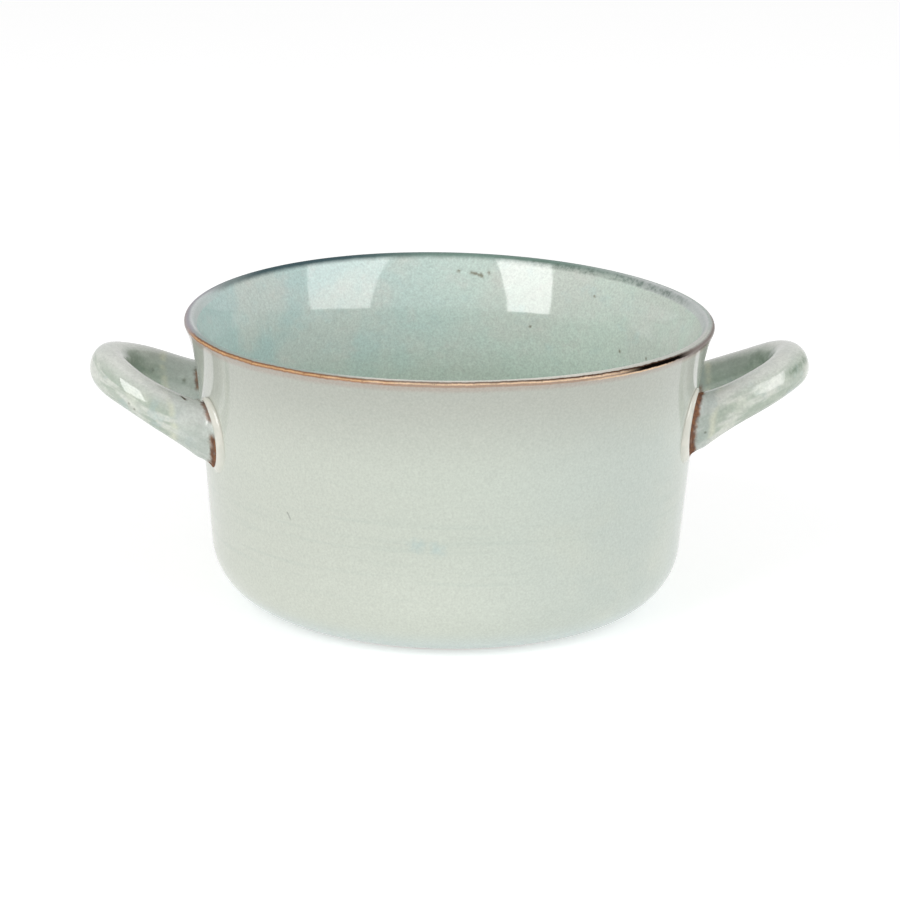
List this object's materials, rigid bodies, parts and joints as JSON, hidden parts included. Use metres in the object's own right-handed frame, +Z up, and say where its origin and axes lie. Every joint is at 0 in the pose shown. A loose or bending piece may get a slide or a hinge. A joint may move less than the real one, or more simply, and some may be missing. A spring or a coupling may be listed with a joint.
{
  "type": "soup bowl",
  "caption": "Round glazed stoneware soup bowl with a flared rim, a shallow foot ring and upturned loop handles luted to opposite sides of its wall.",
  "frame": {"origin": "centre of the foot ring, on the plane that the bowl stands on", "axes": "+Z up out of the bowl's mouth, +X towards the right handle, -Y the pictured front"},
  "size_m": [0.1842, 0.135, 0.0745],
  "materials": {
    "body_glaze": "glossy pale grey-green glaze that breaks to copper brown along the rim",
    "handle_glaze": "glossy streaky grey-green glaze, thin and brown where the handle meets the wall",
    "joint_slip": "glossy pale glaze pooled over the slip"
  },
  "bodies": {
    "root": {"bowl_body": "body_glaze", "right_handle": "handle_glaze", "left_handle": "handle_glaze", "right_front_slip_joint": "joint_slip", "right_back_slip_joint": "joint_slip", "left_front_slip_joint": "joint_slip", "left_back_slip_joint": "joint_slip"}
  },
  "joints": []
}
